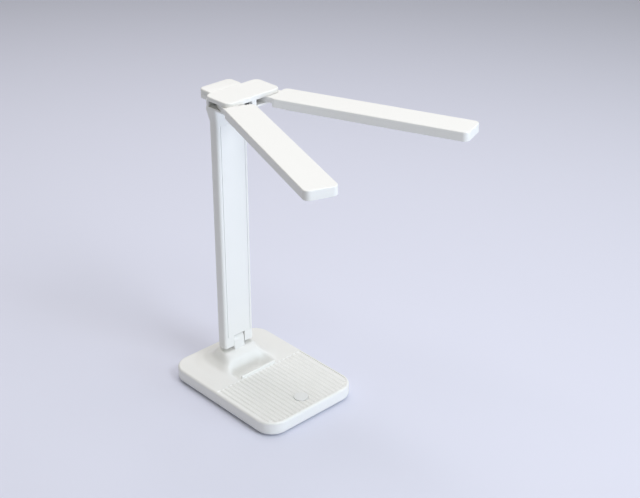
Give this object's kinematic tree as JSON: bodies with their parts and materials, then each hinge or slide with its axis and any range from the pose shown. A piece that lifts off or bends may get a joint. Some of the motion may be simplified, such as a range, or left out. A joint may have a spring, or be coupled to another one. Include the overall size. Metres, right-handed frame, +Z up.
{
  "type": "desk lamp",
  "caption": "Folding desk lamp with a ribbed tray base, a hinged column, a tilting head and a pair of flat light bars that swing apart.",
  "frame": {"origin": "centre of the base's underside, on the anti-slip pad's rest face", "axes": "+Z up; -Y to the front, where the ribbed tray and the light bars point; +X across the width"},
  "size_m": [0.2124, 0.2744, 0.3273],
  "materials": {
    "white_abs": "satin moulded",
    "key_abs": "satin moulded",
    "opal_acrylic": "opal, frosted",
    "grip_rubber": "fine grain",
    "plated_steel": "zinc plated",
    "cell_foil": "foil pouch",
    "circuit_board": "solder mask",
    "led_aluminium": "white solder mask",
    "led_phosphor": "phosphor window",
    "nylon": "natural",
    "wire_pvc": "insulation"
  },
  "bodies": {
    "base": {"base_cover": "white_abs", "base_tray": "white_abs", "base_pad": "grip_rubber", "ballast_plate": "plated_steel", "battery_cell": "cell_foil", "control_board": "circuit_board", "charge_inlet": "plated_steel", "touch_disc": "key_abs", "touch_board": "circuit_board", "base_screws": "plated_steel", "tilt_pin": "plated_steel", "tilt_washers": "nylon"},
    "column": {"column_housing": "white_abs", "column_front_cover": "white_abs", "column_wires": "wire_pvc"},
    "head": {"head_lower_housing": "white_abs", "head_top_cover": "white_abs", "head_rear_cover": "white_abs", "pivot_plate": "plated_steel", "pivot_pins": "plated_steel", "pivot_washers": "nylon", "head_screws": "plated_steel", "head_hinge_pin": "plated_steel", "head_hinge_washers": "nylon"},
    "arm_left": {"arm_left_shell": "white_abs", "arm_left_neck": "white_abs", "arm_left_root_cap": "white_abs", "arm_left_diffuser": "opal_acrylic", "arm_left_led_board": "led_aluminium", "arm_left_leds": "led_phosphor", "arm_left_screws": "plated_steel"},
    "arm_right": {"arm_right_shell": "white_abs", "arm_right_neck": "white_abs", "arm_right_root_cap": "white_abs", "arm_right_diffuser": "opal_acrylic", "arm_right_led_board": "led_aluminium", "arm_right_leds": "led_phosphor", "arm_right_screws": "plated_steel"}
  },
  "joints": [
    {"name": "column_tilt", "type": "hinge", "parent": "base", "child": "column", "pos_m": [0, 0.04445, 0.0406], "axis": [1, 0, 0], "range_deg": [0, 90]},
    {"name": "head_tilt", "type": "hinge", "parent": "column", "child": "head", "pos_m": [0, 0.0402, 0.31025], "axis": [1, 0, 0], "range_deg": [-24.3, 90.7]},
    {"name": "arm_left_swing", "type": "hinge", "parent": "head", "child": "arm_left", "pos_m": [-0.016, 0.01861, 0.31926], "axis": [0, 0.0122, 0.9999], "range_deg": [-69.7, 20.3]},
    {"name": "arm_right_swing", "type": "hinge", "parent": "head", "child": "arm_right", "pos_m": [0.016, 0.01861, 0.31926], "axis": [0, -0.0122, -0.9999], "range_deg": [-69.7, 20.3]}
  ]
}
